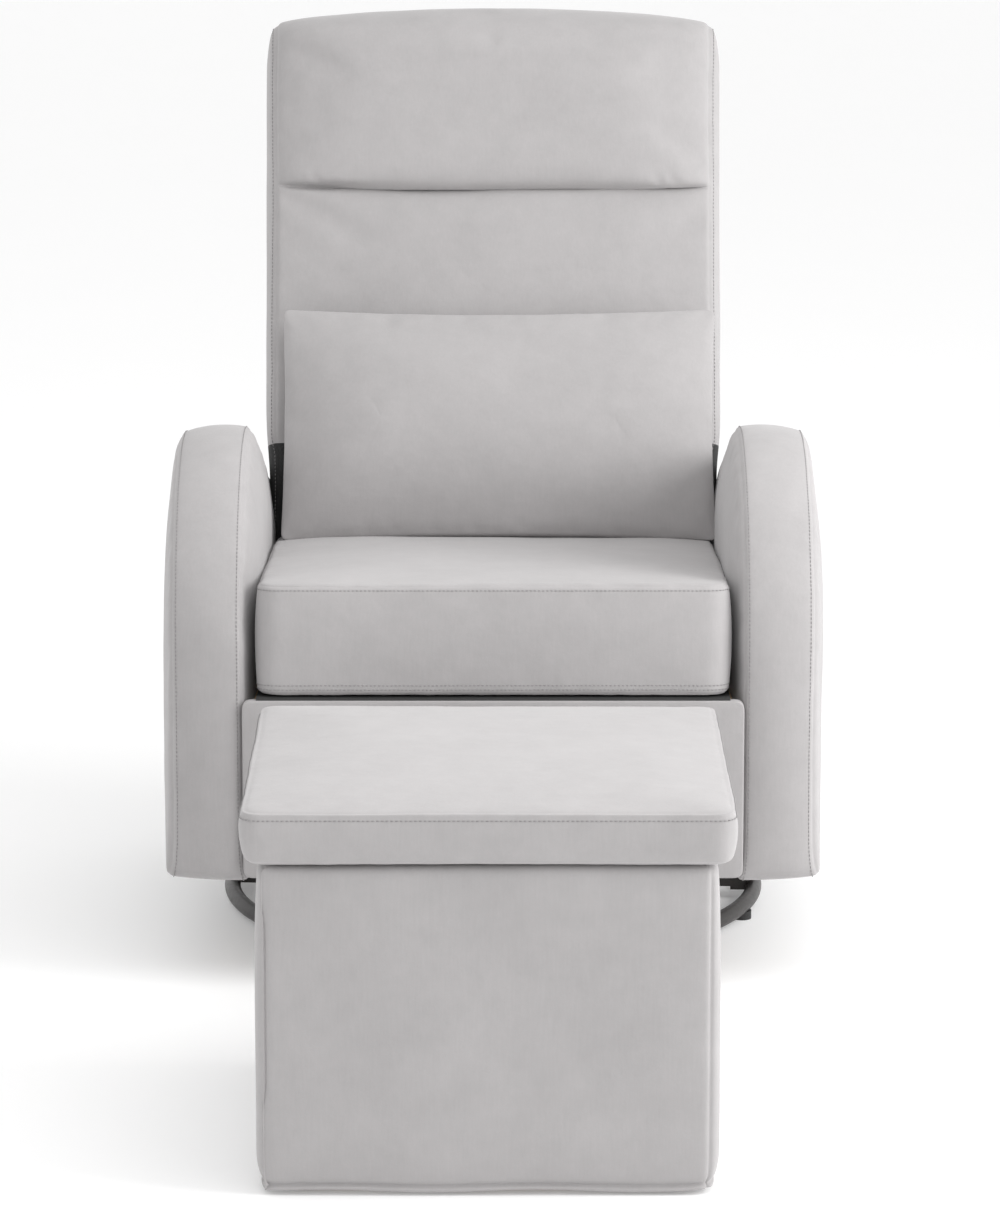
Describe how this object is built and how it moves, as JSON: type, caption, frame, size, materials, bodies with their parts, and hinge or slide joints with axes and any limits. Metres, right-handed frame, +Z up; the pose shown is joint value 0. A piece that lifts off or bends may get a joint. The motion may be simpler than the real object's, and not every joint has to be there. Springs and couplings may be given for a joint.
{
  "type": "glider nursery chair with ottoman",
  "caption": "Upholstered swivel glider chair on a steel ring base, with a loose seat cushion, a lumbar pillow and a storage ottoman with a hinged cushion lid.",
  "frame": {"origin": "on the floor under the middle of the bounding box of the chair and its ottoman", "axes": "+Z up, +Y to the rear of the chair, +X to the sitter's left"},
  "size_m": [0.737, 1.5287, 1.0382],
  "materials": {
    "velvet": "soft short-pile grey upholstery",
    "black_cloth": "woven black",
    "black_paint": "satin powder coat",
    "zinc_steel": "zinc plated",
    "ball_steel": "polished",
    "nylon": "natural",
    "black_plastic": "moulded",
    "plywood": "sanded"
  },
  "bodies": {
    "base": {"base_ring": "black_paint", "ring_feet": "black_plastic", "cross_bar_side": "black_paint", "cross_bars_fore_aft": "black_paint", "bar_gussets": "black_paint", "hub_plate": "black_paint", "kingpin": "zinc_steel", "kingpin_nut": "zinc_steel", "bearing_lower_race": "zinc_steel", "bearing_balls": "ball_steel", "bearing_cage": "nylon"},
    "swivel": {"bearing_upper_race": "zinc_steel", "swivel_plate": "black_paint", "kingpin_bush": "nylon", "crossmember_front": "black_paint", "crossmember_rear": "black_paint", "pivot_bracket_left": "black_paint", "pivot_bracket_right": "black_paint", "upper_pivot_bolts": "zinc_steel"},
    "front_links": {"link_front_left": "zinc_steel", "link_front_right": "zinc_steel", "front_link_bushes": "nylon"},
    "rear_links": {"link_rear_left": "zinc_steel", "link_rear_right": "zinc_steel", "rear_link_bushes": "nylon"},
    "chair": {"carriage_rail_left": "black_paint", "carriage_rail_right": "black_paint", "lower_pivot_bolts": "zinc_steel", "seat_front_rail": "plywood", "seat_rear_rail": "plywood", "seat_side_left": "plywood", "seat_side_right": "plywood", "seat_springs": "zinc_steel", "spring_clips": "zinc_steel", "deck_cloth": "black_cloth", "front_rail_cover": "velvet", "rear_rail_cover": "velvet", "arm_frame_left": "plywood", "arm_frame_right": "plywood", "arm_pad_left": "velvet", "arm_pad_right": "velvet", "back_posts": "plywood", "back_rails": "plywood", "back_webbing": "black_cloth", "back_pad": "velvet", "back_panel": "velvet", "back_brackets": "zinc_steel"},
    "seat_cushion": {"seat_cushion": "velvet"},
    "lumbar_pillow": {"lumbar_pillow": "velvet"},
    "ottoman": {"ottoman_cover": "velvet", "ottoman_end_boards": "plywood", "ottoman_side_boards": "plywood", "ottoman_floor": "plywood", "ottoman_feet": "black_plastic", "hinge_leaves_lower": "zinc_steel", "hinge_pins": "zinc_steel"},
    "ottoman_lid": {"hinge_leaves_upper": "zinc_steel", "lid_board": "plywood", "lid_cushion": "velvet"}
  },
  "joints": [
    {"name": "swivel_turn", "type": "hinge", "parent": "base", "child": "swivel", "pos_m": [0, 0.33267, 0], "axis": [0, 0, 1], "continuous": true},
    {"name": "glide", "type": "hinge", "parent": "swivel", "child": "front_links", "pos_m": [0, 0.19267, 0.245], "axis": [1, 0, 0], "range_deg": [-20, 20]},
    {"name": "chair_level", "type": "hinge", "parent": "front_links", "child": "chair", "pos_m": [0, 0.19267, 0.085], "axis": [1, 0, 0], "range_deg": [-20, 20]},
    {"name": "rear_swing", "type": "hinge", "parent": "swivel", "child": "rear_links", "pos_m": [0, 0.47267, 0.245], "axis": [1, 0, 0], "range_deg": [-20, 20]},
    {"name": "cushion_slide", "type": "slide", "parent": "chair", "child": "seat_cushion", "axis": [0, -0.9961, 0.0885], "range_m": [0, 0.1]},
    {"name": "pillow_lift", "type": "slide", "parent": "chair", "child": "lumbar_pillow", "axis": [0, -0.766, 0.6428], "range_m": [0, 0.25]},
    {"name": "ottoman_move", "type": "slide", "parent": "base", "child": "ottoman", "axis": [0, -1, 0], "range_m": [0, 0.4]},
    {"name": "lid_hinge", "type": "hinge", "parent": "ottoman", "child": "ottoman_lid", "pos_m": [0, -0.31833, 0.333], "axis": [-1, 0, 0], "range_deg": [0, 90]}
  ],
  "couplings": [
    {"joint": "chair_level", "follows": "glide", "ratio": -1},
    {"joint": "rear_swing", "follows": "glide", "ratio": 1}
  ]
}
